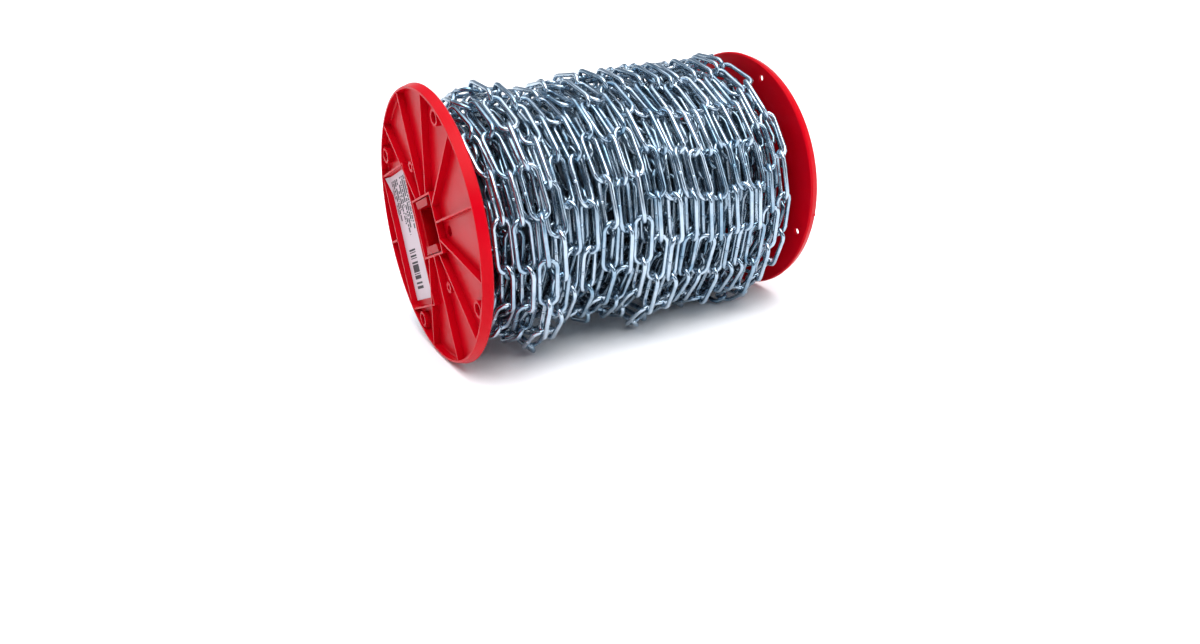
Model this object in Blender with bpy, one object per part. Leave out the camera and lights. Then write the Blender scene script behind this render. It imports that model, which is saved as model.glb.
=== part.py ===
"""Plastic reel wound with zinc-plated long-link steel chain, lying on its two rims."""
import math

import bmesh
import bpy
from mathutils import Matrix, Vector

MM = 0.001

# Reel, lip to lip along X, resting on the floor plane z = 0
REEL_LENGTH = 222.4 * MM
RIM_RADIUS = 80.0 * MM
LIP_RADIUS = 78.6 * MM
LIP_INNER_RADIUS = 77.2 * MM
HEEL_RADIUS = 79.3 * MM
WEB_THICKNESS = 1.9 * MM
FLANGE_HEIGHT = 6.1 * MM
RIM_SEGMENTS = 96
SEAT_GAP = 0.3 * MM

# The square hub and every rib are turned this far about the axle
HUB_TURN = math.radians(22.5)

# Radial ribs, by their angle in the flange's own face
RIB_WIDTH = 1.2 * MM
RIB_HEIGHT = 5.9 * MM
FULL_RIBS = (-120, -90, -60, -30, 0, 30, 60, 90, 120)
RIB_START = 16.9 * MM

# Walled pocket for the label, in the flange's own face
POCKET_LEFT = -66.0 * MM
POCKET_RIGHT = -20.8 * MM
POCKET_TOP = 40.3 * MM
POCKET_BOTTOM = -43.8 * MM
POCKET_WALL = 1.1 * MM
POCKET_HEIGHT = 5.7 * MM

# Square collar round the hub, and the barrel's plug inside it
COLLAR_HALF = 17.3 * MM
COLLAR_OPENING_HALF = 16.2 * MM
PLUG_HALF = 15.9 * MM
PLUG_DEPTH = 2.0 * MM
TONGUE_WIDTH = 21.6 * MM
TONGUE_INNER_WIDTH = 18.0 * MM
TONGUE_OUTER = 15.4 * MM
BORE_HALF = 11.0 * MM
BARREL_RADIUS = 24.0 * MM
BARREL_SEGMENTS = 48

# Holes near the rim, each in a ring on the labelled flange, and two small studs on the web
RIM_HOLE_CIRCLE = 72.0 * MM
RIM_HOLE_RADIUS = 2.1 * MM
RIM_HOLE_ANGLES = (45, 135, 225, 315)
RING_RADIUS = 4.7 * MM
RING_INNER_RADIUS = 3.4 * MM
RING_HEIGHT = 5.5 * MM
PAD_WIDTH = 8.0 * MM
PAD_HEIGHT = 4.6 * MM
STUD_CIRCLE = 37.5 * MM
STUD_RADIUS = 3.2 * MM
STUD_HEIGHT = 4.6 * MM
STUD_ANGLES = (-75, 105)
WEB_HOLE_CIRCLE = 25.4 * MM
WEB_HOLE_ANGLE = -15
WEB_HOLE_RADIUS = 2.3 * MM

# Paper label in the left flange's pocket
LABEL_LEFT = -65.0 * MM
LABEL_RIGHT = -24.0 * MM
LABEL_TOP = 39.0 * MM
LABEL_BOTTOM = -39.2 * MM
LABEL_THICKNESS = 0.25 * MM

# Chain: one strand in turns side by side, its links lying flat and on edge by turns
WIRE = 2.8 * MM
LINK_PITCH = 26.4 * MM
TURN_STEP = 10.0 * MM
WINDING_LEFT = -98.6 * MM
WINDING_RIGHT = 95.0 * MM
FREE_END = 1.75
LAYER_PITCH = 8.5 * MM
SUNK = 4.6 * MM
SETTLE = 1.2 * MM
WINDING_HALF_LENGTH = 104.8 * MM
WINDING_HALF_WIDTH = 79.6 * MM
FLOOR_CLEARANCE = 1.2 * MM

# How high the turns are heaped along the reel, in mm: place, radius
HEAP = ((-105, 69), (-93, 70), (-71, 78.5), (-50, 71.5), (-28, 75.5), (-6, 78.5), (30, 80), (75, 80.5),
        (98, 80))

# Slack that hangs low on the near side, in mm: place, half width, how far it hangs out
SLACK = ((4, 5.5, 19), (43, 5, 10), (74, 6, 15), (-66, 5, 15))
SLACK_ANGLE = math.radians(-60)
SLACK_WIDTH = math.radians(24)

# Outline of a flat link with its opening, and of one on edge, in mm along and across the strand
FLAT_LINK = ((16.0, 0.0), (10.6, 4.6), (-10.6, 4.6), (-16.0, 0.0), (-10.6, -4.6), (10.6, -4.6))
FLAT_OPENING = ((11.2, 2.7), (-11.2, 2.7), (-11.2, -2.7), (11.2, -2.7))
EDGE_LINK = ((10.0, 1.4), (-10.0, 1.4), (-10.0, -1.4), (10.0, -1.4))
EDGE_HEIGHT = 6.2 * MM
FLAT_LID = ((0, 1, 6), (0, 6, 9), (0, 9, 5), (1, 2, 7, 6), (2, 3, 7), (3, 8, 7), (3, 4, 8), (4, 5, 9, 8))

# The packed inner turns, as one core under the outer links, in mm: place, depth below the heap
CORE = ((-104.8, 12), (-72, 12), (-47, 12), (-6, 12), (97, 12), (104.8, 18))
CORE_SIDES = 12
CORE_OVERLAP = 1.5 * MM
CORE_BORE = 24.4 * MM

INNER_FACE = REEL_LENGTH / 2 - FLANGE_HEIGHT


def clear_scene():
    for item in list(bpy.data.objects):
        bpy.data.objects.remove(item, do_unlink=True)


def make_material(name, colour, roughness, metallic):
    material = bpy.data.materials.new(name)
    material.use_nodes = True
    shader = material.node_tree.nodes["Principled BSDF"]
    shader.inputs["Base Color"].default_value = (*colour, 1.0)
    shader.inputs["Roughness"].default_value = roughness
    shader.inputs["Metallic"].default_value = metallic
    return material


def make_object(name, points, faces):
    mesh = bpy.data.meshes.new(name)
    mesh.from_pydata([tuple(point) for point in points], [], faces)
    shape = bmesh.new()
    shape.from_mesh(mesh)
    bmesh.ops.recalc_face_normals(shape, faces=shape.faces)
    shape.to_mesh(mesh)
    shape.free()
    item = bpy.data.objects.new(name, mesh)
    bpy.context.scene.collection.objects.link(item)
    return item


def polar(radius, degrees):
    angle = math.radians(degrees)
    return radius * math.cos(angle), radius * math.sin(angle)


def prism(name, outline, low, high):
    count = len(outline)
    points = [(u, v, low) for u, v in outline] + [(u, v, high) for u, v in outline]
    faces = [tuple(range(count)), tuple(range(count, 2 * count))]
    for index in range(count):
        following = (index + 1) % count
        faces.append((index, following, count + following, count + index))
    return make_object(name, points, faces)


def box(name, left, right, bottom, top, low, high):
    return prism(name, ((left, bottom), (right, bottom), (right, top), (left, top)), low, high)


def disc(name, centre, radius, low, high, segments):
    outline = []
    for index in range(segments):
        u, v = polar(radius, 360 * (index + 0.5) / segments)
        outline.append((centre[0] + u, centre[1] + v))
    return prism(name, outline, low, high)


def bar(name, start, end, width, degrees, low, high):
    along = Vector(polar(1.0, degrees))
    across = Vector((-along.y, along.x)) * width / 2
    corners = (along * start - across, along * end - across, along * end + across, along * start + across)
    return prism(name, [tuple(corner) for corner in corners], low, high)


def turned(name, profile, segments):
    points = [(0.0, 0.0, profile[0][1]), (0.0, 0.0, profile[-1][1])]
    rings = []
    for radius, height in profile:
        ring = []
        for index in range(segments):
            u, v = polar(radius, 360 * (index + 0.5) / segments)
            ring.append(len(points))
            points.append((u, v, height))
        rings.append(ring)
    faces = []
    for index in range(segments):
        following = (index + 1) % segments
        faces.append((0, rings[0][following], rings[0][index]))
        faces.append((1, rings[-1][index], rings[-1][following]))
        for lower, upper in zip(rings, rings[1:]):
            faces.append((lower[index], lower[following], upper[following], upper[index]))
    return make_object(name, points, faces)


def combine(target, others, operation, overlapping=False):
    for other in others:
        other.hide_render = True
        other.display_type = "WIRE"
        modifier = target.modifiers.new(operation.title(), "BOOLEAN")
        modifier.operation = operation
        modifier.solver = "EXACT"
        modifier.use_self = overlapping
        modifier.object = other
        bpy.context.view_layer.update()
        result = bpy.data.meshes.new_from_object(target.evaluated_get(bpy.context.evaluated_depsgraph_get()))
        target.modifiers.clear()
        target.data = result
        bpy.data.objects.remove(other, do_unlink=True)


def finish(item, name, placement, material, smooth_angle):
    item.name = name
    item.data.name = name
    item.data.transform(placement)
    item.data.materials.clear()
    item.data.materials.append(material)
    item.data.shade_smooth()
    item.data.set_sharp_from_angle(angle=math.radians(smooth_angle))
    return item


def face_placement(side, turn, distance):
    """Own face's right, up and outward directions, seen from outside that end of the reel."""
    right = Vector((0, side * math.cos(turn), math.sin(turn)))
    up = Vector((0, -side * math.sin(turn), math.cos(turn)))
    outward = Vector((side, 0, 0))
    placement = Matrix((right, up, outward)).transposed().to_4x4()
    placement.translation = (side * distance, 0, RIM_RADIUS)
    return placement


def make_flange(name, side, turn, ringed, material):
    profile = (
        (HEEL_RADIUS, 0.0),
        (RIM_RADIUS, 0.9 * MM),
        (RIM_RADIUS, 1.9 * MM),
        (LIP_RADIUS, FLANGE_HEIGHT - 0.3 * MM),
        (LIP_RADIUS - 0.4 * MM, FLANGE_HEIGHT),
        (LIP_INNER_RADIUS, FLANGE_HEIGHT),
        (LIP_INNER_RADIUS, WEB_THICKNESS),
    )
    flange = turned(name, profile, RIM_SEGMENTS)
    foot = WEB_THICKNESS / 2
    half_wall = POCKET_WALL / 2
    half = COLLAR_HALF
    pieces = [box("collar", -half, half, -half, half, foot, RIB_HEIGHT + 0.1 * MM)]
    for degrees in FULL_RIBS:
        pieces.append(bar("rib", RIB_START, LIP_RADIUS - 0.7 * MM, RIB_WIDTH, degrees, foot, RIB_HEIGHT))
    pieces.append(bar("stub", -POCKET_LEFT, LIP_RADIUS - 0.7 * MM, RIB_WIDTH, 180, foot, RIB_HEIGHT))
    rim_top = -math.sqrt(LIP_RADIUS**2 - POCKET_TOP**2) + 1.0 * MM
    rim_bottom = -math.sqrt(LIP_RADIUS**2 - POCKET_BOTTOM**2) + 1.0 * MM
    outer_right = POCKET_RIGHT + half_wall
    pieces.append(box("wall", rim_top, outer_right, POCKET_TOP - half_wall, POCKET_TOP + half_wall,
                      foot, POCKET_HEIGHT))
    pieces.append(box("wall", rim_bottom, outer_right, POCKET_BOTTOM - half_wall, POCKET_BOTTOM + half_wall,
                      foot, POCKET_HEIGHT))
    for place in (POCKET_LEFT, POCKET_RIGHT):
        pieces.append(box("wall", place - half_wall, place + half_wall, POCKET_BOTTOM, POCKET_TOP,
                          foot, POCKET_HEIGHT - 0.1 * MM))
    ring_angles = RIM_HOLE_ANGLES if ringed else ()
    for degrees in ring_angles:
        pieces.append(bar("pad", RIM_HOLE_CIRCLE, LIP_RADIUS - 0.7 * MM, PAD_WIDTH, degrees,
                          foot, PAD_HEIGHT))
        pieces.append(disc("ring", polar(RIM_HOLE_CIRCLE, degrees), RING_RADIUS, foot, RING_HEIGHT, 20))
    for degrees in STUD_ANGLES:
        pieces.append(disc("stud", polar(STUD_CIRCLE, degrees), STUD_RADIUS, foot, STUD_HEIGHT, 16))
    combine(flange, pieces, "UNION")
    low, high = -2.0 * MM, FLANGE_HEIGHT + 2.0 * MM
    half = COLLAR_OPENING_HALF
    cutters = [box("opening", -half, half, -half, half, low, high)]
    for degrees in RIM_HOLE_ANGLES:
        cutters.append(disc("hole", polar(RIM_HOLE_CIRCLE, degrees), RIM_HOLE_RADIUS, low, high, 12))
    for degrees in ring_angles:
        cutters.append(disc("well", polar(RIM_HOLE_CIRCLE, degrees), RING_INNER_RADIUS,
                            WEB_THICKNESS + 0.4 * MM, high, 16))
    cutters.append(disc("hole", polar(WEB_HOLE_CIRCLE, WEB_HOLE_ANGLE), WEB_HOLE_RADIUS, low, high, 12))
    for degrees in STUD_ANGLES:
        cutters.append(disc("dimple", polar(STUD_CIRCLE, degrees), STUD_RADIUS / 2, 3.0 * MM, high, 10))
    combine(flange, cutters, "DIFFERENCE")
    return finish(flange, name, face_placement(side, turn, INNER_FACE), material, 35)


def make_barrel(material):
    """Round tube between the flanges, with a square plug and two tongues through each collar."""
    tube_end = -SEAT_GAP
    far_end = -2 * INNER_FACE + SEAT_GAP
    barrel = disc("barrel", (0, 0), BARREL_RADIUS, far_end, tube_end, BARREL_SEGMENTS)
    plug_top = FLANGE_HEIGHT - PLUG_DEPTH
    pieces = [box("plug", -PLUG_HALF, PLUG_HALF, -PLUG_HALF, PLUG_HALF,
                  -2 * INNER_FACE - plug_top, plug_top)]
    tongue_top = FLANGE_HEIGHT - 0.2 * MM
    for sign in (-1, 1):
        outline = ((-TONGUE_WIDTH / 2, sign * TONGUE_OUTER), (TONGUE_WIDTH / 2, sign * TONGUE_OUTER),
                   (TONGUE_INNER_WIDTH / 2, sign * (BORE_HALF - 1.0 * MM)),
                   (-TONGUE_INNER_WIDTH / 2, sign * (BORE_HALF - 1.0 * MM)))
        pieces.append(prism("tongue", outline, -2 * INNER_FACE - tongue_top, tongue_top))
    combine(barrel, pieces, "UNION")
    reach = REEL_LENGTH
    bore = box("bore", -BORE_HALF, BORE_HALF, -BORE_HALF, BORE_HALF, -2 * reach, reach)
    combine(barrel, [bore], "DIFFERENCE")
    return finish(barrel, "barrel", face_placement(-1, HUB_TURN, INNER_FACE), material, 35)


def make_label(material):
    low = WEB_THICKNESS + SEAT_GAP
    label = box("label", LABEL_LEFT, LABEL_RIGHT, LABEL_BOTTOM, LABEL_TOP, low, low + LABEL_THICKNESS)
    return finish(label, "label", face_placement(-1, HUB_TURN, INNER_FACE), material, 35)


def ease(value):
    value = max(0.0, min(1.0, value))
    return value * value * (3 - 2 * value)


def heap_radius(x):
    place = max(HEAP[0][0], min(HEAP[-1][0], x / MM))
    for (x0, r0), (x1, r1) in zip(HEAP, HEAP[1:]):
        if place <= x1:
            return (r0 + (r1 - r0) * ease((place - x0) / (x1 - x0))) * MM


def waver(turns, start):
    """A strand is never laid quite straight."""
    turn = 2 * math.pi * turns
    return (math.sin(0.83 * turn + start) + 0.7 * math.sin(1.93 * turn + 2.1 * start)
            + 0.5 * math.sin(3.1 * turn + start))


def strand_point(turns):
    """Point of the outermost layer, in turns from the strand's free end; origin on the axle."""
    x = WINDING_RIGHT - TURN_STEP * turns
    left_to_go = (x - WINDING_LEFT) / TURN_STEP
    angle = FREE_END + 2 * math.pi * turns
    hang = math.exp(-(math.remainder(angle - SLACK_ANGLE, 2 * math.pi) / SLACK_WIDTH) ** 2)
    slack = 1.5 + sum(depth * math.exp(-((x / MM - place) / width) ** 2) for place, width, depth in SLACK)
    radius = heap_radius(x) - SUNK + (0.8 * waver(turns, 1.0) + hang * slack) * MM
    radius -= 0.5 * LAYER_PITCH * ease(1 - left_to_go / 0.5)
    x += 1.2 * waver(turns, 4.0) * MM
    return Vector((x, -radius * math.cos(angle), radius * math.sin(angle)))


def lay_links():
    """Each link's centre with its along, across and normal directions."""
    links = []
    turns = 0.0
    joint = strand_point(turns)
    while True:
        low, high = turns, turns + 0.2
        for _ in range(30):
            middle = (low + high) / 2
            if (strand_point(middle) - joint).length < LINK_PITCH:
                low = middle
            else:
                high = middle
        if high * TURN_STEP > WINDING_RIGHT - WINDING_LEFT:
            return links
        following = strand_point(high)
        centre = (joint + following) / 2
        along = (following - joint).normalized()
        outward = Vector((0, centre.y, centre.z))
        outward = (outward - along * outward.dot(along)).normalized()
        count = len(links)
        lean = (17 * math.sin(0.43 * count + 1.0) + 11 * math.sin(1.27 * count + 2.0)
                + 9 * math.sin(2.9 * count))
        roll = math.radians(90 * (count % 2) + lean)
        normal = outward * math.cos(roll) + outward.cross(along) * math.sin(roll)
        centre -= outward * SETTLE
        links.append((centre, along, normal.cross(along), normal))
        joint, turns = following, high


def core_radius(x):
    place = x / MM
    for (x0, drop0), (x1, drop1) in zip(CORE, CORE[1:]):
        if place <= x1 + 0.01:
            share = (place - x0) / (x1 - x0)
            start = heap_radius(x0 * MM) - drop0 * MM
            end = heap_radius(x1 * MM) - drop1 * MM
            return start * (1 - share) + end * share


def link_top(centre, along, across, normal):
    """Outer face of a link: outline and opening when it lies flat, one bar when it is on edge."""
    outward = Vector((0, centre.y, centre.z)).normalized()
    if abs(normal.dot(outward)) > 0.7:
        height = normal * math.copysign(WIRE / 2, normal.dot(outward))
        top = [centre + (along * u + across * v) * MM + height for u, v in FLAT_LINK + FLAT_OPENING]
    else:
        height = across * math.copysign(EDGE_HEIGHT, across.dot(outward))
        top = [centre + (along * u + normal * v) * MM + height for u, v in EDGE_LINK]
    shift = Vector((0, 0, 0))
    for axis, low, high in ((0, -WINDING_HALF_LENGTH, WINDING_HALF_LENGTH),
                            (1, -WINDING_HALF_WIDTH, WINDING_HALF_WIDTH),
                            (2, FLOOR_CLEARANCE - RIM_RADIUS, WINDING_HALF_WIDTH)):
        values = [point[axis] for point in top]
        shift[axis] = max(0.0, low - min(values)) - max(0.0, max(values) - high)
    return [point + shift for point in top]


def make_links():
    """Outermost links, each run straight in to the core it lies on."""
    points, faces = [], []
    for link in lay_links():
        top = link_top(*link)
        depth = min(core_radius(point.x) for point in top) - CORE_OVERLAP
        share = depth / max(math.hypot(point.y, point.z) for point in top)
        start, count = len(points), len(top)
        points += top + [Vector((point.x, point.y * share, point.z * share)) for point in top]
        if count == len(EDGE_LINK):
            lid, loops = ((0, 1, 2, 3),), ((0, 1, 2, 3),)
        else:
            lid, loops = FLAT_LID, ((0, 1, 2, 3, 4, 5), (6, 7, 8, 9))
        for face in lid:
            faces.append([start + corner for corner in face])
            faces.append([start + count + corner for corner in face])
        for loop in loops:
            for one, other in zip(loop, loop[1:] + loop[:1]):
                faces.append([start + one, start + other, start + count + other, start + count + one])
    return make_object("links", points, faces)


def make_winding(material):
    """All the turns as one body: the outer links in relief on the packed turns below them."""
    rings = [(place * MM, core_radius(place * MM)) for place, drop in CORE]
    rings += [(CORE[-1][0] * MM, CORE_BORE), (CORE[0][0] * MM, CORE_BORE)]
    points, faces = [], []
    for x, flat in rings:
        radius = flat / math.cos(math.pi / CORE_SIDES)
        for side in range(CORE_SIDES):
            angle = 2 * math.pi * (side + 0.5) / CORE_SIDES
            points.append((x, -radius * math.cos(angle), radius * math.sin(angle)))
    for ring in range(len(rings)):
        for side in range(CORE_SIDES):
            this, beyond = ring * CORE_SIDES, (ring + 1) % len(rings) * CORE_SIDES
            following = (side + 1) % CORE_SIDES
            faces.append((this + side, this + following, beyond + following, beyond + side))
    winding = make_object("chain_winding", points, faces)
    combine(winding, [make_links()], "UNION", overlapping=True)
    shape = bmesh.new()
    shape.from_mesh(winding.data)
    bmesh.ops.dissolve_limit(shape, angle_limit=math.radians(1), verts=shape.verts, edges=shape.edges)
    bmesh.ops.remove_doubles(shape, verts=shape.verts, dist=0.05 * MM)
    shape.to_mesh(winding.data)
    shape.free()
    return finish(winding, "chain_winding", Matrix.Translation((0, 0, RIM_RADIUS)), material, 35)


def build():
    clear_scene()
    plastic = make_material("red_plastic", (0.62, 0.01, 0.025), 0.3, 0.0)
    core_plastic = make_material("barrel_plastic", (0.52, 0.012, 0.025), 0.38, 0.0)
    zinc = make_material("zinc_plated_steel", (0.62, 0.66, 0.7), 0.28, 0.9)
    paper = make_material("label_paper", (0.88, 0.87, 0.9), 0.55, 0.0)
    make_flange("left_flange", -1, HUB_TURN, True, plastic)
    make_flange("right_flange", 1, -HUB_TURN, False, plastic)
    make_barrel(core_plastic)
    make_label(paper)
    make_winding(zinc)


build()
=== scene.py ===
import math

import bmesh
import bpy
import numpy as np
from mathutils import Matrix, Vector


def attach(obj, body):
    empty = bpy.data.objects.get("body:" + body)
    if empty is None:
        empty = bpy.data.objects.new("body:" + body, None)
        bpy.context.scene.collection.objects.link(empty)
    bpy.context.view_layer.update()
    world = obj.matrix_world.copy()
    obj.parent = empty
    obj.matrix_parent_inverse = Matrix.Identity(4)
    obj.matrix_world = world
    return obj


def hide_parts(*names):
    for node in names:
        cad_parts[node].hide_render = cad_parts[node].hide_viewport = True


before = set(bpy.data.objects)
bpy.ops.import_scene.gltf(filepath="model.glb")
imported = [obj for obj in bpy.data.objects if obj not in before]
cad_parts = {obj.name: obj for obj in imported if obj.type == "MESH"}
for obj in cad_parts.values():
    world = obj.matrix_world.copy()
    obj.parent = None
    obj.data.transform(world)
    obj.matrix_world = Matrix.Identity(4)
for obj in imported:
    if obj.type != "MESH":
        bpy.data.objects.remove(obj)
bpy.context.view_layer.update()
mm = 0.001

reel = {
    "length": 222.4 * mm,          # over both lips
    "rimRadius": 80.0 * mm,
    "hubTurn": math.radians(22.5), # square hub and ribs, about the axle
    "flangeHeight": 6.1 * mm,
}


# Small makers used by several pieces

def newMaterial(name):
    material = bpy.data.materials.new(name)
    material.use_nodes = True
    nodes, links = material.node_tree.nodes, material.node_tree.links
    return material, nodes, links, nodes["Principled BSDF"]


def addNode(nodes, kind, **settings):
    node = nodes.new(kind)
    for key, value in settings.items():
        if key in node.inputs:
            node.inputs[key].default_value = value
        else:
            setattr(node, key, value)
    return node


def meshObject(name, points, faces):
    mesh = bpy.data.meshes.new(name)
    mesh.from_pydata([tuple(p) for p in points], [], faces)
    shape = bmesh.new()
    shape.from_mesh(mesh)
    bmesh.ops.recalc_face_normals(shape, faces=shape.faces)
    shape.to_mesh(mesh)
    shape.free()
    item = bpy.data.objects.new(name, mesh)
    bpy.context.scene.collection.objects.link(item)
    return item


def polar(radius, degrees):
    angle = math.radians(degrees)
    return radius * math.cos(angle), radius * math.sin(angle)


def settle(item):                  # the modifiers' result becomes the mesh
    bpy.context.view_layer.update()
    graph = bpy.context.evaluated_depsgraph_get()
    result = bpy.data.meshes.new_from_object(item.evaluated_get(graph))
    item.modifiers.clear()
    item.data = result
    return item


def facePlacement(side, turn):     # own right, up and outward directions of one end of the reel
    right = Vector((0, side * math.cos(turn), math.sin(turn)))
    up = Vector((0, -side * math.sin(turn), math.cos(turn)))
    placement = Matrix((right, up, Vector((side, 0, 0)))).transposed().to_4x4()
    inner = reel["length"] / 2 - reel["flangeHeight"]
    placement.translation = (side * inner, 0, reel["rimRadius"])
    return placement


# Red plastic, moulded

plasticLook = {
    "colour": (0.52, 0.0, 0.008),
    "deep": (0.42, 0.0, 0.005),
    "clouds": 60.0,                # scale of the slow change between the two
    "roughness": 0.3,
    "stray": (0.06, 0.1),          # how far the roughness goes below and above
    "waver": 420.0,                # scale of the fine unevenness of the moulding
    "waverDepth": 0.0002,
    "waverStrength": 0.05,
    "sheen": 0.075,
    "ior": 1.49,
    "glow": 0.08,                  # light that gets under the surface, and how far
    "glowReach": (0.004, 0.0006, 0.0006),
}


def makePlastic(name, look):
    material, nodes, links, shader = newMaterial(name)
    place = addNode(nodes, "ShaderNodeTexCoord")
    cloud = addNode(nodes, "ShaderNodeTexNoise", Scale=look["clouds"], Detail=5.0, Roughness=0.6)
    links.new(place.outputs["Object"], cloud.inputs["Vector"])
    tint = addNode(nodes, "ShaderNodeValToRGB")
    tint.color_ramp.elements[0].position = 0.0
    tint.color_ramp.elements[0].color = (*look["deep"], 1)
    tint.color_ramp.elements[1].position = 1.0
    tint.color_ramp.elements[1].color = (*look["colour"], 1)
    links.new(cloud.outputs["Fac"], tint.inputs["Fac"])
    links.new(tint.outputs["Color"], shader.inputs["Base Color"])
    flow = addNode(nodes, "ShaderNodeTexNoise", Scale=look["waver"], Detail=2.0, Roughness=0.5)
    links.new(place.outputs["Object"], flow.inputs["Vector"])
    gloss = addNode(nodes, "ShaderNodeMapRange")
    gloss.inputs["To Min"].default_value = look["roughness"] - look["stray"][0]
    gloss.inputs["To Max"].default_value = look["roughness"] + look["stray"][1]
    links.new(cloud.outputs["Fac"], gloss.inputs["Value"])
    links.new(gloss.outputs["Result"], shader.inputs["Roughness"])
    dimple = addNode(nodes, "ShaderNodeBump", Strength=look["waverStrength"], Distance=look["waverDepth"])
    links.new(flow.outputs["Fac"], dimple.inputs["Height"])
    links.new(dimple.outputs["Normal"], shader.inputs["Normal"])
    shader.inputs["IOR"].default_value = look["ior"]
    shader.inputs["Specular IOR Level"].default_value = look["sheen"]
    shader.inputs["Subsurface Weight"].default_value = look["glow"]
    shader.inputs["Subsurface Radius"].default_value = look["glowReach"]
    shader.inputs["Subsurface Scale"].default_value = 1.0
    return material


redPlastic = makePlastic("redPlastic", plasticLook)
print("red plastic made")


# Flanges: one moulding for both ends, with rings round the rim holes at the labelled one

flange = {
    "lipRadius": 78.6 * mm,
    "lipInner": 77.2 * mm,
    "heelRadius": 79.3 * mm,       # the rim's edge on the chain's side
    "web": 1.9 * mm,
    "segments": 192,
    "ribWidth": 1.2 * mm,
    "ribHeight": 5.9 * mm,
    "ribs": (9, -120, 30),         # how many, first angle and step: none towards the label
    "pocket": (-66.0 * mm, -20.8 * mm, -43.8 * mm, 40.3 * mm),     # left, right, bottom, top
    "wall": 1.1 * mm,
    "wallTop": 5.6 * mm,           # of the pocket's long walls
    "crossTop": 5.7 * mm,          # of the walls across its ends
    "collar": 17.3 * mm,           # half the square hub's width
    "collarTop": 6.0 * mm,
    "opening": 16.2 * mm,
    "rimHoles": (4, 45, 90),
    "holeCircle": 72.0 * mm,
    "holeRadius": 2.1 * mm,
    "ringOuter": 4.7 * mm,
    "ringInner": 3.4 * mm,
    "ringFloor": 2.3 * mm,
    "ringTop": 5.5 * mm,
    "bossHalf": 4.0 * mm,          # what joins a ring to the lip
    "bossTop": 4.6 * mm,
    "webHole": (25.4 * mm, -15),   # how far out and at what angle
    "webHoleRadius": 3.0 * mm,
    "studs": (2, -75, 180),
    "studCircle": 37.5 * mm,
    "studRadius": 3.2 * mm,
    "studTop": 4.6 * mm,
    "studBore": 1.6 * mm,
    "studFloor": 3.0 * mm,
    "softEdge": 0.28 * mm,
}


def prism(outline, low, high):
    count = len(outline)
    points = [(u, v, low) for u, v in outline] + [(u, v, high) for u, v in outline]
    faces = [tuple(range(count)), tuple(range(count, 2 * count))]
    for k in range(count):
        j = (k + 1) % count
        faces.append((k, j, count + j, count + k))
    return meshObject("piece", points, faces)


def block(left, right, bottom, top, low, high):
    return prism(((left, bottom), (right, bottom), (right, top), (left, top)), low, high)


def disc(centre, radius, low, high, segments):
    ring = [polar(radius, 360 * (k + 0.5) / segments) for k in range(segments)]
    return prism([(centre[0] + u, centre[1] + v) for u, v in ring], low, high)


def turnedDisc(profile, segments):
    shape = bmesh.new()
    corners = [(0, profile[0][1])] + list(profile) + [(0, profile[-1][1])]
    line = [shape.verts.new((radius, 0, height)) for radius, height in corners]
    edges = [shape.edges.new(pair) for pair in zip(line, line[1:])]
    bmesh.ops.spin(shape, geom=line + edges, cent=(0, 0, 0), axis=(0, 0, 1), angle=math.tau,
                   steps=segments, use_merge=True)
    bmesh.ops.remove_doubles(shape, verts=shape.verts, dist=0.00001)
    bmesh.ops.recalc_face_normals(shape, faces=shape.faces)
    mesh = bpy.data.meshes.new("disc")
    shape.to_mesh(mesh)
    shape.free()
    item = bpy.data.objects.new("disc", mesh)
    bpy.context.scene.collection.objects.link(item)
    return item


def hubTree(name, material):       # sets what it is given round the hub, again and again
    tree = bpy.data.node_groups.new(name, "GeometryNodeTree")
    face = tree.interface
    face.new_socket("Geometry", in_out="INPUT", socket_type="NodeSocketGeometry")
    face.new_socket("Count", in_out="INPUT", socket_type="NodeSocketInt").default_value = 4
    face.new_socket("First angle", in_out="INPUT", socket_type="NodeSocketFloat").default_value = 0.0
    face.new_socket("Step", in_out="INPUT", socket_type="NodeSocketFloat").default_value = math.pi / 2
    face.new_socket("Geometry", in_out="OUTPUT", socket_type="NodeSocketGeometry")
    nodes, links = tree.nodes, tree.links
    given = nodes.new("NodeGroupInput")
    whole = nodes.new("GeometryNodeGeometryToInstance")
    links.new(given.outputs["Geometry"], whole.inputs["Geometry"])
    again = nodes.new("GeometryNodeDuplicateElements")
    again.domain = "INSTANCE"
    links.new(whole.outputs["Instances"], again.inputs["Geometry"])
    links.new(given.outputs["Count"], again.inputs["Amount"])
    angle = addNode(nodes, "ShaderNodeMath", operation="MULTIPLY_ADD")
    links.new(again.outputs["Duplicate Index"], angle.inputs[0])
    links.new(given.outputs["Step"], angle.inputs[1])
    links.new(given.outputs["First angle"], angle.inputs[2])
    spin = nodes.new("ShaderNodeCombineXYZ")
    links.new(angle.outputs[0], spin.inputs["Z"])
    turn = nodes.new("GeometryNodeRotateInstances")
    turn.inputs["Local Space"].default_value = False
    links.new(again.outputs["Geometry"], turn.inputs["Instances"])
    links.new(spin.outputs[0], turn.inputs["Rotation"])
    real = nodes.new("GeometryNodeRealizeInstances")
    links.new(turn.outputs["Instances"], real.inputs["Geometry"])
    coat = nodes.new("GeometryNodeSetMaterial")
    coat.inputs["Material"].default_value = material
    links.new(real.outputs["Geometry"], coat.inputs["Geometry"])
    done = nodes.new("NodeGroupOutput")
    links.new(coat.outputs["Geometry"], done.inputs["Geometry"])
    return tree


def socketId(tree, label):
    return next(s.identifier for s in tree.interface.items_tree if s.name == label and s.in_out == "INPUT")


roundTheHub = hubTree("roundTheHub", redPlastic)


def repeat(item, count, first, step):
    maker = item.modifiers.new("round the hub", "NODES")
    maker.node_group = roundTheHub
    maker[socketId(roundTheHub, "Count")] = count
    maker[socketId(roundTheHub, "First angle")] = math.radians(first)
    maker[socketId(roundTheHub, "Step")] = math.radians(step)
    return settle(item)


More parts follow.
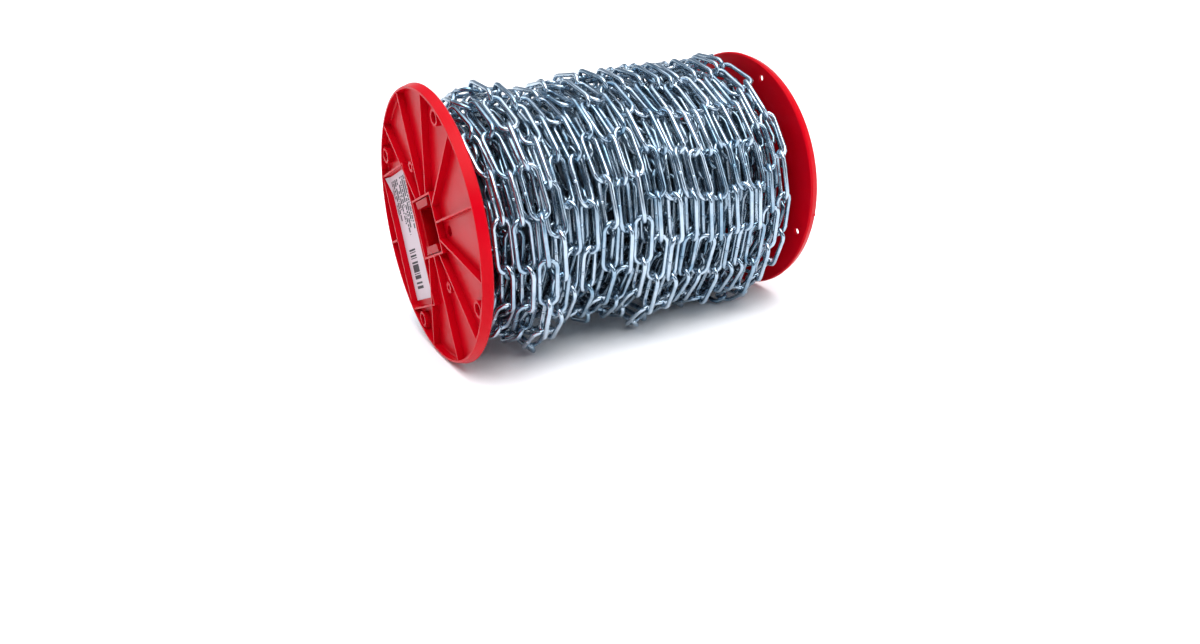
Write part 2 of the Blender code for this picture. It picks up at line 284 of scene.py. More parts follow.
def combine(target, others, operation):
    for other in others:
        modifier = target.modifiers.new("combine", "BOOLEAN")
        modifier.operation = operation
        modifier.solver = "EXACT"
        modifier.object = other
        settle(target)
        bpy.data.objects.remove(other, do_unlink=True)


def makeFlange(name, side, turn, ringed):
    f, top, rim = flange, reel["flangeHeight"], reel["rimRadius"]
    lip, inside, web = f["lipRadius"], f["lipInner"], f["web"]
    # from the chain's side out round the rim, over the lip and down to the web
    body = turnedDisc([(f["heelRadius"] - 0.3 * mm, 0), (f["heelRadius"], 0.15 * mm), (rim, 1.0 * mm),
                       (rim, 1.9 * mm), (lip, top - 0.35 * mm), (lip - 0.12 * mm, top - 0.1 * mm),
                       (lip - 0.4 * mm, top), (inside, top), (inside - 0.1 * mm, web + 0.5 * mm),
                       (inside - 0.6 * mm, web)], f["segments"])
    foot, reach = web / 2, lip - 0.7 * mm          # pieces start inside the web and end inside the lip
    left, right, bottom, upper = f["pocket"]
    half, ribHalf, hole, hub = f["wall"] / 2, f["ribWidth"] / 2, f["opening"], f["collar"]
    pieces = [block(-hub, hub, -hub, hub, foot, f["collarTop"]),
              repeat(block(hub - 0.4 * mm, reach, -ribHalf, ribHalf, foot, f["ribHeight"]), *f["ribs"]),
              block(-reach, left, -ribHalf, ribHalf, foot, f["ribHeight"])]
    for level in (bottom, upper):
        edge = -math.sqrt(lip ** 2 - level ** 2) + 1.0 * mm
        pieces.append(block(edge, right + half, level - half, level + half, foot, f["crossTop"]))
    for place in (left, right):
        pieces.append(block(place - half, place + half, bottom, upper, foot, f["wallTop"]))
    if ringed:
        boss = block(f["holeCircle"], reach, -f["bossHalf"], f["bossHalf"], foot, f["bossTop"])
        ring = disc((f["holeCircle"], 0), f["ringOuter"], foot, f["ringTop"], 32)
        pieces += [repeat(boss, *f["rimHoles"]), repeat(ring, *f["rimHoles"])]
    stud = disc((f["studCircle"], 0), f["studRadius"], foot, f["studTop"], 24)
    pieces.append(repeat(stud, *f["studs"]))
    combine(body, pieces, "UNION")
    low, high = -2 * mm, top + 2 * mm              # cutters go past both faces
    cutters = [block(-hole, hole, -hole, hole, low, high),
               repeat(disc((f["holeCircle"], 0), f["holeRadius"], low, high, 20), *f["rimHoles"]),
               disc(polar(*f["webHole"]), f["webHoleRadius"], low, high, 24),
               repeat(disc((f["studCircle"], 0), f["studBore"], f["studFloor"], high, 16), *f["studs"])]
    if ringed:
        well = disc((f["holeCircle"], 0), f["ringInner"], f["ringFloor"], high, 28)
        cutters.append(repeat(well, *f["rimHoles"]))
    combine(body, cutters, "DIFFERENCE")
    soft = body.modifiers.new("soft edges", "BEVEL")
    soft.width = f["softEdge"]
    soft.segments = 2
    soft.limit_method = "ANGLE"
    soft.angle_limit = math.radians(40)
    soft.use_clamp_overlap = True
    settle(body)
    body.name = body.data.name = name
    body.data.transform(facePlacement(side, turn))
    body.data.shade_smooth()
    body.data.set_sharp_from_angle(angle=math.radians(38))
    flat = body.modifiers.new("flat faces", "WEIGHTED_NORMAL")   # the webs stay flat beside soft edges
    flat.keep_sharp = True
    settle(body)
    body.data.name = name
    body.data.materials.clear()
    body.data.materials.append(redPlastic)
    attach(body, "root")
    return body


leftFlange = makeFlange("labelledFlange", -1, reel["hubTurn"], True)
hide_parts("left_flange")
rightFlange = makeFlange("plainFlange", 1, -reel["hubTurn"], False)
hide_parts("right_flange")
print("flanges made:", len(leftFlange.data.polygons), "and", len(rightFlange.data.polygons), "faces")


# Barrel, with its bore and tongues

# painted shade: the barrel gets a darker copy of the flanges' red so that its bore looks shaded
barrelPaintedShadeLook = dict(plasticLook, colour=(0.4, 0.0, 0.004), deep=(0.3, 0.0, 0.002), sheen=0.045)
barrelPlastic = makePlastic("barrelPlastic", barrelPaintedShadeLook)
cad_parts["barrel"].data.materials.clear()
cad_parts["barrel"].data.materials.append(barrelPlastic)
print("barrel dressed")


# Label: paper stuck in the pocket, one corner riding up the wall

paper = {
    "left": -65.3 * mm,
    "right": -23.6 * mm,
    "bottom": -39.2 * mm,
    "top": 39.0 * mm,
    "lift": 0.06 * mm,             # above the web
    "thickness": 0.12 * mm,
    "columns": 40,
    "rows": 72,
    "climbFrom": 28.0 * mm,        # the top corner climbs the pocket's left wall
    "climbOver": 11.0 * mm,
    "climb": 3.2 * mm,
    "waver": 0.05 * mm,
    # painted shade and painted red bounce light: the white paper's colour is greyed and pinked
    "tint": (0.55, 0.46, 0.5),
    "ink": (0.015, 0.015, 0.02),
    "lines": 11.0,                 # rows of small marks where print would be
    "words": 22.0,
    "strokes": 150.0,
    "blocks": 34.0,                # along the bold row
    "bars": 130.0,
}


def makePaperMaterial():
    material, nodes, links, shader = newMaterial("labelPaper")
    uv = addNode(nodes, "ShaderNodeUVMap", uv_map="labelMap")
    split = addNode(nodes, "ShaderNodeSeparateXYZ")
    links.new(uv.outputs["UV"], split.inputs["Vector"])

    def math2(operation, a, b):
        node = addNode(nodes, "ShaderNodeMath", operation=operation)
        for socket, value in zip(node.inputs, (a, b)):
            if isinstance(value, (int, float)):
                socket.default_value = value
            else:
                links.new(value, socket)
        return node.outputs[0]

    def between(value, low, high):
        return math2("MULTIPLY", math2("GREATER_THAN", value, low), math2("LESS_THAN", value, high))

    def cells(value, count):
        return math2("FLOOR", math2("MULTIPLY", value, count), 0.0)

    def chance(first, second):     # a number of its own for each cell
        node = addNode(nodes, "ShaderNodeTexWhiteNoise", noise_dimensions="2D")
        pair = addNode(nodes, "ShaderNodeCombineXYZ")
        links.new(first, pair.inputs["X"])
        links.new(second, pair.inputs["Y"])
        links.new(pair.outputs["Vector"], node.inputs["Vector"])
        return node.outputs["Value"]

    def patch(fromLeft, toRight, fromBottom, toTop):
        return math2("MULTIPLY", between(down, fromBottom, toTop), between(across, fromLeft, toRight))

    across, down = split.outputs["X"], split.outputs["Y"]
    row = cells(across, paper["lines"])
    inRow = math2("GREATER_THAN", math2("FRACT", math2("MULTIPLY", across, paper["lines"]), 0.0), 0.27)
    word = math2("GREATER_THAN", chance(row, cells(down, paper["words"])), 0.08)
    inWord = math2("GREATER_THAN", chance(row, cells(down, paper["strokes"])), 0.16)
    marks = math2("MULTIPLY", inRow, math2("MULTIPLY", word, inWord))
    start = math2("ADD", math2("MULTIPLY", chance(row, row), 0.22), 0.5)       # rows end unevenly
    rows = math2("MULTIPLY", marks, patch(0.05, 0.73, start, 0.96))
    lone = math2("MULTIPLY", marks, patch(0.82, 0.9, 0.42, 0.63))
    dash = math2("GREATER_THAN", math2("FRACT", math2("MULTIPLY", down, paper["blocks"]), 0.0), 0.3)
    bold = math2("MULTIPLY", dash, patch(0.75, 0.94, 0.66, 0.97))
    bar = cells(down, paper["bars"])
    bars = math2("MULTIPLY", math2("GREATER_THAN", chance(bar, bar), 0.45), patch(0.16, 0.46, 0.08, 0.4))
    faint = math2("MULTIPLY", math2("MAXIMUM", rows, lone), 0.93)
    ink = math2("MAXIMUM", faint, math2("MAXIMUM", bars, bold))
    mix = addNode(nodes, "ShaderNodeMix", data_type="RGBA")
    mix.inputs["A"].default_value = (*paper["tint"], 1)
    mix.inputs["B"].default_value = (*paper["ink"], 1)
    links.new(ink, mix.inputs["Factor"])
    links.new(mix.outputs["Result"], shader.inputs["Base Color"])
    fibre = addNode(nodes, "ShaderNodeTexNoise", Scale=900.0, Detail=3.0)
    place = addNode(nodes, "ShaderNodeTexCoord")
    links.new(place.outputs["Object"], fibre.inputs["Vector"])
    grain = addNode(nodes, "ShaderNodeBump", Strength=0.1, Distance=0.0002)
    links.new(fibre.outputs["Fac"], grain.inputs["Height"])
    links.new(grain.outputs["Normal"], shader.inputs["Normal"])
    shader.inputs["Roughness"].default_value = 0.5
    shader.inputs["Specular IOR Level"].default_value = 0.15
    return material


def makeLabel():
    p, f = paper, flange
    points, faces, coords = [], [], []
    wallFoot = f["pocket"][0] + f["wall"] / 2 + 0.1 * mm
    for row in range(p["rows"] + 1):
        for column in range(p["columns"] + 1):
            s, t = column / p["columns"], row / p["rows"]
            u = p["left"] + (p["right"] - p["left"]) * s
            v = p["bottom"] + (p["top"] - p["bottom"]) * t
            rise = max(0.0, (v - p["climbFrom"]) / p["climbOver"]) * p["climb"]
            climbed = max(0.0, rise - (u - wallFoot))
            h = f["web"] + p["lift"] + climbed * 0.86
            if climbed > 0:
                u = max(wallFoot, u + rise * 0.14)
            h += p["waver"] * math.sin(9 * s + 2.1 * math.sin(7 * t)) + p["waver"]
            points.append((u, v, h))
            coords.append((s, t))
    wide = p["columns"] + 1
    for row in range(p["rows"]):
        for column in range(p["columns"]):
            a = row * wide + column
            faces.append((a, a + 1, a + wide + 1, a + wide))
    item = meshObject("label", points, faces)
    if sum(poly.normal.z for poly in item.data.polygons) < 0:
        item.data.flip_normals()
    layer = item.data.uv_layers.new(name="labelMap")
    for loop in item.data.loops:
        layer.data[loop.index].uv = coords[loop.vertex_index]
    thick = item.modifiers.new("paper", "SOLIDIFY")
    thick.thickness = p["thickness"]
    thick.offset = 1.0
    settle(item)
    item.name = item.data.name = "paperLabel"
    item.data.transform(facePlacement(-1, reel["hubTurn"]))
    item.data.shade_smooth()
    item.data.set_sharp_from_angle(angle=math.radians(40))
    item.data.materials.clear()
    item.data.materials.append(makePaperMaterial())
    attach(item, "root")
    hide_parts("label")
    return item


makeLabel()
print("label made")


# Chain: the links' places are found first, in millimetres about the axle

chain = {
    "wire": 2.8,
    "halfLength": 14.6,            # of the wire's centreline
    "halfWidth": 4.8,
    "pitch": 26.4,
    "layers": 4,                   # wound for real; what lies deeper is a plain core
    "layerGap": 8.5,
    "turnStep": 10.0,
    "left": -98.6,
    "right": 95.0,
    "sunk": 4.6,                   # centre of the outermost turns below the top of the heap
    "freeEnd": 1.75,
    "fine": 96,                    # points of the path in a turn
    "waver": (1.2, 0.8),           # along the reel, and in and out
    "heap": ((-105, 69), (-93, 70), (-71, 78.5), (-50, 71.5), (-28, 75.5), (-6, 78.5),
             (30, 80), (75, 80.5), (98, 80)),
    "slack": ((4, 5.5, 19), (43, 5, 10), (74, 6, 15), (-66, 5, 15)),   # where, how wide, how far out
    "slackLeast": 1.5,
    "slackAt": -60,                # degrees, low on the near side
    "slackSpread": 24,
    "lean": ((17, 0.43, 1.0), (11, 1.27, 2.0), (9, 2.9, 0.0)),         # degrees, how often, from where
    "weldRadius": 1.58,
    "weldLength": 1.6,
}


def heapRadius(x):
    places, radii = np.array(chain["heap"], float).T
    x = np.clip(x, places[0], places[-1])
    k = np.clip(np.searchsorted(places, x) - 1, 0, len(places) - 2)
    u = (x - places[k]) / (places[k + 1] - places[k])
    return radii[k] + (radii[k + 1] - radii[k]) * u * u * (3 - 2 * u)


def waves(s, start):               # a strand is never laid quite straight
    turn = 2 * math.pi * s
    return (np.sin(0.83 * turn + start) + 0.7 * np.sin(1.93 * turn + 2.1 * start)
            + 0.5 * np.sin(3.1 * turn + start))


def easeIn(value):
    value = np.clip(value, 0, 1)
    return value * value * (3 - 2 * value)


def windPath():                    # from the free end inwards
    c = chain
    turns = (c["right"] - c["left"]) / c["turnStep"]
    s = np.arange(int(turns * c["layers"] * c["fine"])) / c["fine"]
    layer = np.minimum((s / turns).astype(int), c["layers"] - 1)
    u = s / turns - layer
    right = c["right"] + layer * 1.2                       # deeper turns start nearer to the flange
    x = np.where(layer % 2 == 0, right - (right - c["left"]) * u, c["left"] + (right - c["left"]) * u)
    sink = easeIn(1 - (1 - u) * turns / 0.5) * 0.5         # down a layer in the last half turn
    arrive = easeIn(1 - u * turns / 0.5) * 0.5
    depth = layer + np.where(layer < c["layers"] - 1, sink, 0) - np.where(layer > 0, arrive, 0)
    angle = c["freeEnd"] + 2 * np.pi * s
    radius = heapRadius(x) - c["sunk"] - depth * c["layerGap"] + waves(s, 1.0) * c["waver"][1]
    turned = np.arctan2(np.sin(angle), np.cos(angle))
    hang = np.exp(-(((turned - math.radians(c["slackAt"])) / math.radians(c["slackSpread"])) ** 2))
    low = c["slackLeast"] + sum(deep * np.exp(-(((x - at) / wide) ** 2)) for at, wide, deep in c["slack"])
    radius = radius + np.where(layer == 0, hang * low, 0)
    x = x + waves(s, 4.0) * c["waver"][0]
    return np.stack([x, -radius * np.cos(angle), radius * np.sin(angle)], 1), layer


def layLinks(points, layer):
    pitch = chain["pitch"]
    here, at = points[0], 0
    joints, marks = [here], [0]
    while True:                    # step along the path by chords of one pitch
        far = np.nonzero(np.linalg.norm(points[at:at + 60] - here, axis=1) >= pitch)[0]
        if len(far) == 0:
            break
        at += far[0]
        edge, back = points[at] - points[at - 1], points[at - 1] - here
        a, b, c = edge @ edge, 2 * back @ edge, back @ back - pitch ** 2
        here = points[at - 1] + edge * (-b + math.sqrt(max(b * b - 4 * a * c, 0))) / (2 * a)
        joints.append(here)
        marks.append(at)
    joints = np.array(joints)
    centres = (joints[1:] + joints[:-1]) / 2
    along = joints[1:] - joints[:-1]
    along /= np.linalg.norm(along, axis=1)[:, None]
    outward = centres * (0, 1, 1)
    outward -= (outward * along).sum(1)[:, None] * along
    outward /= np.linalg.norm(outward, axis=1)[:, None]
    sideways = np.cross(outward, along)
    k = np.arange(len(centres))
    lean = sum(size * np.sin(often * k + start) for size, often, start in chain["lean"])
    roll = np.radians(90.0 * (k % 2) + lean)[:, None]
    normal = outward * np.cos(roll) + sideways * np.sin(roll)
    turn = np.stack([along, np.cross(normal, along), normal], 2)
    return centres, turn, layer[np.array(marks[:-1])]


def linkOutline(corner=4):
    bend = chain["halfWidth"]
    straight = chain["halfLength"] - bend
    points = []
    for side in (1, -1):
        for k in range(corner + 1):
            a = side * math.pi / 2 - math.pi * k / corner
            points.append((side * straight + bend * math.cos(a), bend * math.sin(a), 0))
        points.append((0, -side * bend, 0))
    return np.array(points)


def closePairs(middles, half, reach, owner):
    size = 2 * half.max() + reach
    cell = np.floor((middles - middles.min(0)) / size).astype(np.int64) + 1
    span = cell.max(0) + 2
    key = (cell[:, 0] * span[1] + cell[:, 1]) * span[2] + cell[:, 2]
    order = np.argsort(key, kind="stable")
    ranked = key[order]
    found = []
    for step in sorted((dx * span[1] + dy) * span[2] + dz
                       for dx in (-1, 0, 1) for dy in (-1, 0, 1) for dz in (-1, 0, 1)):
        if step < 0:
            continue
        first = np.searchsorted(ranked, ranked + step, "left")
        counts = np.searchsorted(ranked, ranked + step, "right") - first
        a = np.repeat(np.arange(len(counts)), counts)
        b = np.arange(counts.sum()) + np.repeat(first - np.cumsum(counts) + counts, counts)
        if step == 0:
            a, b = a[a < b], b[a < b]
        i, j = order[a], order[b]
        apart = np.linalg.norm(middles[i] - middles[j], axis=1) - half[i] - half[j]
        keep = (apart < reach) & (owner[i] != owner[j])
        found.append(np.stack([i[keep], j[keep]]))
    return np.concatenate(found, 1)


def nearestPoints(p1, d1, p2, d2):
    r = p1 - p2
    a, e, f = (d1 * d1).sum(1), (d2 * d2).sum(1), (d2 * r).sum(1)
    c, b = (d1 * r).sum(1), (d1 * d2).sum(1)
    cross = a * e - b * b
    s = np.where(cross > 1e-9 * a * e, np.clip((b * f - c * e) / np.maximum(cross, 1e-12), 0, 1), 0.5)
    t = (b * s + f) / e
    kept = np.clip(t, 0, 1)
    s = np.where(t != kept, np.clip((kept * b - c) / a, 0, 1), s)
    return p1 + d1 * s[:, None], p2 + d2 * kept[:, None]


def tangled(centres, turn):        # links that pass through one another and aren't neighbours
    count = len(centres)
    i, j = closePairs(centres, np.full(count, 0.01), 30.0, np.arange(count))
    i, j = i[np.abs(i - j) > 1], j[np.abs(i - j) > 1]
    world = centres[j][:, None] + linkOutline()[None] @ turn[j].transpose(0, 2, 1)
    local = (world - centres[i][:, None]) @ turn[i]
    after = np.roll(local, -1, axis=1)
    crosses = (local[..., 2] > 0) != (after[..., 2] > 0)
    share = local[..., 2] / np.where(crosses, local[..., 2] - after[..., 2], 1)
    x = local[..., 0] + (after[..., 0] - local[..., 0]) * share
    y = local[..., 1] + (after[..., 1] - local[..., 1]) * share
    straight = chain["halfLength"] - chain["halfWidth"]
    inside = crosses & (np.hypot(np.maximum(np.abs(x) - straight, 0), y) < chain["halfWidth"])
    caught = (inside * np.sign(after[..., 2] - local[..., 2])).sum(1) != 0
    return i[caught], j[caught]


def turnBy(turn, spin):
    angle = np.linalg.norm(spin, axis=1)
    axis = spin / np.maximum(angle, 1e-12)[:, None]
    k = np.zeros((len(spin), 3, 3))
    k[:, 0, 1], k[:, 0, 2], k[:, 1, 2] = -axis[:, 2], axis[:, 1], -axis[:, 0]
    k -= k.transpose(0, 2, 1)
    sine, cosine = np.sin(angle)[:, None, None], np.cos(angle)[:, None, None]
    return (np.eye(3) + sine * k + (1 - cosine) * (k @ k)) @ turn


settling = {
    "rounds": 300,
    "spare": 0.06,                 # kept between wires
    "watch": 2.0,                  # wires this near are looked at again until the next search
    "searchEvery": 12,
    "tangleEvery": 6,
    "aside": 0.6,                  # a tangled pair's step
    "play": 0.5,                   # between joined links
    "calm": 1.6,                   # a link with many contacts moves by their mean over this
    "mostTurn": 0.2,
    "homeward": 0.01,              # pull back to the laid place
    "homeUntil": 0.75,             # of the rounds
    "inertia": (22.0, 105.0, 127.0),     # over mass, about the link's own axes
    "core": 38.0,
    "endGap": 0.3,
    "floorGap": 0.5,
}


# Rigid links push one another apart for a set number of rounds, and stay joined to their neighbours
def settleLinks(centres, turn, ends, floor):
    g, wire = settling, chain["wire"]
    shape, count = linkOutline(), len(centres)
    owner = np.repeat(np.arange(count), len(shape))
    slowness = 1 / np.array(g["inertia"])
    clear, home = wire + g["spare"], centres.copy()
    arm = np.array([chain["pitch"] / 2, 0, 0])
    before, after = np.arange(count - 1), np.arange(1, count)
    move, spin, weight = np.zeros((count, 3)), np.zeros((count, 3)), np.zeros(count)

    def add(link, shift, angle):
        for axis in range(3):
            move[:, axis] += np.bincount(link, shift[:, axis], count)
            spin[:, axis] += np.bincount(link, angle[:, axis], count)
        weight[:] += np.bincount(link, minlength=count)

    def lever(link, point, direction):
        torque = np.cross(point - centres[link], direction)
        own = np.einsum("nji,nj->ni", turn[link], torque)
        turned = np.einsum("nij,nj->ni", turn[link], slowness * own)
        return turned, 1 + (torque * turned).sum(1)

    def push(link, point, direction, depth, other=None, otherPoint=None):
        turned, total = lever(link, point, direction)
        if other is not None:
            otherTurned, more = lever(other, otherPoint, direction)
            total = total + more
        amount = (depth / total)[:, None]
        add(link, direction * amount, turned * amount)
        if other is not None:
            add(other, -direction * amount, -otherTurned * amount)

    for step in range(g["rounds"]):
        corners = centres[:, None] + shape[None] @ turn.transpose(0, 2, 1)
        start = corners.reshape(-1, 3)
        edge = (np.roll(corners, -1, axis=1) - corners).reshape(-1, 3)
        fresh = step % g["searchEvery"] == 0
        if fresh:
            half = np.linalg.norm(edge, axis=1) / 2
            i, j = closePairs(start + edge / 2, half, wire + g["watch"], owner)
        if step % g["tangleEvery"] == 0:
            knotA, knotB = tangled(centres, turn)
            codes = np.concatenate([knotA * count + knotB, knotB * count + knotA])
        onI, onJ = nearestPoints(start[i], edge[i], start[j], edge[j])
        gap = onI - onJ
        distance = np.linalg.norm(gap, axis=1)
        if fresh:
            near = distance < wire + g["watch"]
            i, j, onI, onJ, gap, distance = (part[near] for part in (i, j, onI, onJ, gap, distance))
        hit = distance < clear
        if len(knotA):
            hit &= ~np.isin(owner[i] * count + owner[j], codes)
        move[:], spin[:], weight[:] = 0, 0, 0
        deep = clear - distance[hit]
        push(owner[i[hit]], onI[hit], gap[hit] / np.maximum(distance[hit], 1e-6)[:, None], deep,
             owner[j[hit]], onJ[hit])
        if len(knotA):
            aside = centres[knotA] - centres[knotB]
            lay = turn[knotA][:, :, 0]
            aside -= (aside * lay).sum(1)[:, None] * lay
            aside *= g["aside"] / np.maximum(np.linalg.norm(aside, axis=1), 1e-6)[:, None]
            add(knotA, aside, aside * 0)
            add(knotB, -aside, aside * 0)
        endA = centres[before] + turn[before] @ arm
        endB = centres[after] - turn[after] @ arm
        stretch = np.linalg.norm(endB - endA, axis=1)
        loose = stretch > g["play"]
        if loose.any():
            push(before[loose], endA[loose], (endB - endA)[loose] / stretch[loose][:, None],
                 stretch[loose] - g["play"], after[loose], endB[loose])
        radius = np.hypot(start[:, 1], start[:, 2])
        outward = start * (0, 1, 1) / radius[:, None]
        upward = np.tile((0.0, 0.0, 1.0), (len(start), 1))
        inward = np.tile((-1.0, 0.0, 0.0), (len(start), 1))
        for depth, direction in ((start[:, 0] - ends + wire / 2, inward),
                                 (-start[:, 0] - ends + wire / 2, -inward),
                                 (g["core"] + wire / 2 - radius, outward),
                                 (floor + wire / 2 - start[:, 2], upward)):
            bad = depth > 0
            if bad.any():
                push(owner[bad], start[bad], direction[bad], depth[bad])
        share = g["calm"] / np.maximum(weight, g["calm"])[:, None]
        centres = centres + move * share
        turn = turnBy(turn, np.clip(spin * share, -g["mostTurn"], g["mostTurn"]))
        if step < g["rounds"] * g["homeUntil"]:
            centres = centres + (home - centres) * g["homeward"]
    print("links settled:", len(deep), "contacts, deepest", round(float(deep.max()), 2), "mm, mean",
          round(float(deep.mean()), 2), "mm")
    left, _, right = np.linalg.svd(turn)
    return centres, left @ right


path, pathLayer = windPath()
linkCentres, linkTurns, linkLayer = layLinks(path, pathLayer)
print("links laid:", len(linkCentres))
innerFace = (reel["length"] / 2 - reel["flangeHeight"]) / mm
linkCentres, linkTurns = settleLinks(linkCentres, linkTurns, innerFace - settling["endGap"],
                                     -reel["rimRadius"] / mm + settling["floorGap"])


# One link, swept round its outline, set at every place by Geometry Nodes

zincLook = {
    "bright": (0.455, 0.55, 0.64),
    "dull": (0.155, 0.265, 0.365),
    "patches": 120.0,              # scale of the change between the two
    "ownTone": 0.4,                # how far one link differs from the next
    "roughness": 0.17,
    "stray": (0.05, 0.12),         # how far the roughness goes below and above
    "drawn": 600.0,                # scale of the wire's fine marks
    "drawnDepth": 0.0002,
    "drawnStrength": 0.02,
    "metal": 0.97,
}


def makeZinc(name, look):
    material, nodes, links, shader = newMaterial(name)
    place = addNode(nodes, "ShaderNodeTexCoord")
    patch = addNode(nodes, "ShaderNodeTexNoise", Scale=look["patches"], Detail=3.0, Roughness=0.55)
    links.new(place.outputs["Object"], patch.inputs["Vector"])
    own = addNode(nodes, "ShaderNodeAttribute", attribute_name="linkTone")
    blend = addNode(nodes, "ShaderNodeMath", operation="MULTIPLY_ADD")
    links.new(own.outputs["Fac"], blend.inputs[0])
    blend.inputs[1].default_value = look["ownTone"]
    links.new(patch.outputs["Fac"], blend.inputs[2])
    tint = addNode(nodes, "ShaderNodeValToRGB")
    tint.color_ramp.elements[0].position = 0.35
    tint.color_ramp.elements[0].color = (*look["dull"], 1)
    tint.color_ramp.elements[1].position = 0.85
    tint.color_ramp.elements[1].color = (*look["bright"], 1)
    links.new(blend.outputs[0], tint.inputs["Fac"])
    links.new(tint.outputs["Color"], shader.inputs["Base Color"])
    gloss = addNode(nodes, "ShaderNodeMapRange")
    gloss.inputs["To Min"].default_value = look["roughness"] - look["stray"][0]
    gloss.inputs["To Max"].default_value = look["roughness"] + look["stray"][1]
    links.new(patch.outputs["Fac"], gloss.inputs["Value"])
    links.new(gloss.outputs["Result"], shader.inputs["Roughness"])
    drawn = addNode(nodes, "ShaderNodeTexNoise", Scale=look["drawn"], Detail=2.0)
    links.new(place.outputs["Object"], drawn.inputs["Vector"])
    dent = addNode(nodes, "ShaderNodeBump", Strength=look["drawnStrength"], Distance=look["drawnDepth"])
    links.new(drawn.outputs["Fac"], dent.inputs["Height"])
    links.new(dent.outputs["Normal"], shader.inputs["Normal"])
    shader.inputs["Metallic"].default_value = look["metal"]
    return material


zinc = makeZinc("zincPlate", zincLook)
paintedShadeLook = dict(zincLook, bright=(0.31, 0.39, 0.46), dull=(0.1, 0.18, 0.25))      # painted shade: a darker copy of the zinc for the shade between the layers
paintedShadeZinc = makeZinc("paintedShadeZinc", paintedShadeLook)


def linkTree(name):
    tree = bpy.data.node_groups.new(name, "GeometryNodeTree")
    face = tree.interface
    face.new_socket("Geometry", in_out="INPUT", socket_type="NodeSocketGeometry")
    for label, value in (("Wire radius", chain["wire"] / 2), ("Link length", 2 * chain["halfLength"]),
                         ("Link width", 2 * chain["halfWidth"]), ("Weld radius", chain["weldRadius"]),
                         ("Weld length", chain["weldLength"])):
        face.new_socket(label, in_out="INPUT", socket_type="NodeSocketFloat").default_value = value * mm
    for label, value in (("Wire sides", 8), ("Corner steps", 3)):
        face.new_socket(label, in_out="INPUT", socket_type="NodeSocketInt").default_value = value
    face.new_socket("Finish", in_out="INPUT", socket_type="NodeSocketMaterial")
    face.new_socket("Geometry", in_out="OUTPUT", socket_type="NodeSocketGeometry")
    nodes, links = tree.nodes, tree.links
    given = nodes.new("NodeGroupInput")
    outline = nodes.new("GeometryNodeCurvePrimitiveQuadrilateral")
    links.new(given.outputs["Link length"], outline.inputs["Width"])
    links.new(given.outputs["Link width"], outline.inputs["Height"])
    halfWidth = addNode(nodes, "ShaderNodeMath", operation="MULTIPLY")
    halfWidth.inputs[1].default_value = 0.4999     # just under half, so that no corner doubles
    links.new(given.outputs["Link width"], halfWidth.inputs[0])
    corner = nodes.new("GeometryNodeFilletCurve")
    corner.mode = "POLY"
    links.new(outline.outputs["Curve"], corner.inputs["Curve"])
    links.new(halfWidth.outputs[0], corner.inputs["Radius"])
    links.new(given.outputs["Corner steps"], corner.inputs["Count"])
    section = nodes.new("GeometryNodeCurvePrimitiveCircle")
    links.new(given.outputs["Wire sides"], section.inputs["Resolution"])
    links.new(given.outputs["Wire radius"], section.inputs["Radius"])
    swept = nodes.new("GeometryNodeCurveToMesh")
    links.new(corner.outputs["Curve"], swept.inputs["Curve"])
    links.new(section.outputs["Curve"], swept.inputs["Profile Curve"])
    weld = nodes.new("GeometryNodeMeshCylinder")
    weld.fill_type = "NGON"
    links.new(given.outputs["Wire sides"], weld.inputs["Vertices"])
    links.new(given.outputs["Weld radius"], weld.inputs["Radius"])
    links.new(given.outputs["Weld length"], weld.inputs["Depth"])
    lay = nodes.new("GeometryNodeTransform")
    lay.inputs["Rotation"].default_value = (0, math.pi / 2, 0)
    aside = nodes.new("ShaderNodeCombineXYZ")
    reach = addNode(nodes, "ShaderNodeMath", operation="MULTIPLY")
    reach.inputs[1].default_value = 0.5
    links.new(given.outputs["Link width"], reach.inputs[0])
    links.new(reach.outputs[0], aside.inputs["Y"])
    links.new(aside.outputs[0], lay.inputs["Translation"])
    links.new(weld.outputs["Mesh"], lay.inputs["Geometry"])
    whole = nodes.new("GeometryNodeJoinGeometry")
    links.new(swept.outputs["Mesh"], whole.inputs["Geometry"])
    links.new(lay.outputs["Geometry"], whole.inputs["Geometry"])
    normal = addNode(nodes, "GeometryNodeInputNamedAttribute", data_type="FLOAT_VECTOR", Name="linkNormal")
    along = addNode(nodes, "GeometryNodeInputNamedAttribute", data_type="FLOAT_VECTOR", Name="linkAlong")
    pose = nodes.new("FunctionNodeAxesToRotation")
    pose.primary_axis, pose.secondary_axis = "Z", "X"
    links.new(normal.outputs["Attribute"], pose.inputs["Primary Axis"])
    links.new(along.outputs["Attribute"], pose.inputs["Secondary Axis"])
    placed = nodes.new("GeometryNodeInstanceOnPoints")
    links.new(given.outputs["Geometry"], placed.inputs["Points"])
    links.new(whole.outputs["Geometry"], placed.inputs["Instance"])
    links.new(pose.outputs["Rotation"], placed.inputs["Rotation"])
    real = nodes.new("GeometryNodeRealizeInstances")
    links.new(placed.outputs["Instances"], real.inputs["Geometry"])
    smooth = nodes.new("GeometryNodeSetShadeSmooth")
    links.new(real.outputs["Geometry"], smooth.inputs["Geometry"])
    coat = nodes.new("GeometryNodeSetMaterial")
    links.new(given.outputs["Finish"], coat.inputs["Material"])
    links.new(smooth.outputs["Geometry"], coat.inputs["Geometry"])
    done = nodes.new("NodeGroupOutput")
    links.new(coat.outputs["Geometry"], done.inputs["Geometry"])
    return tree


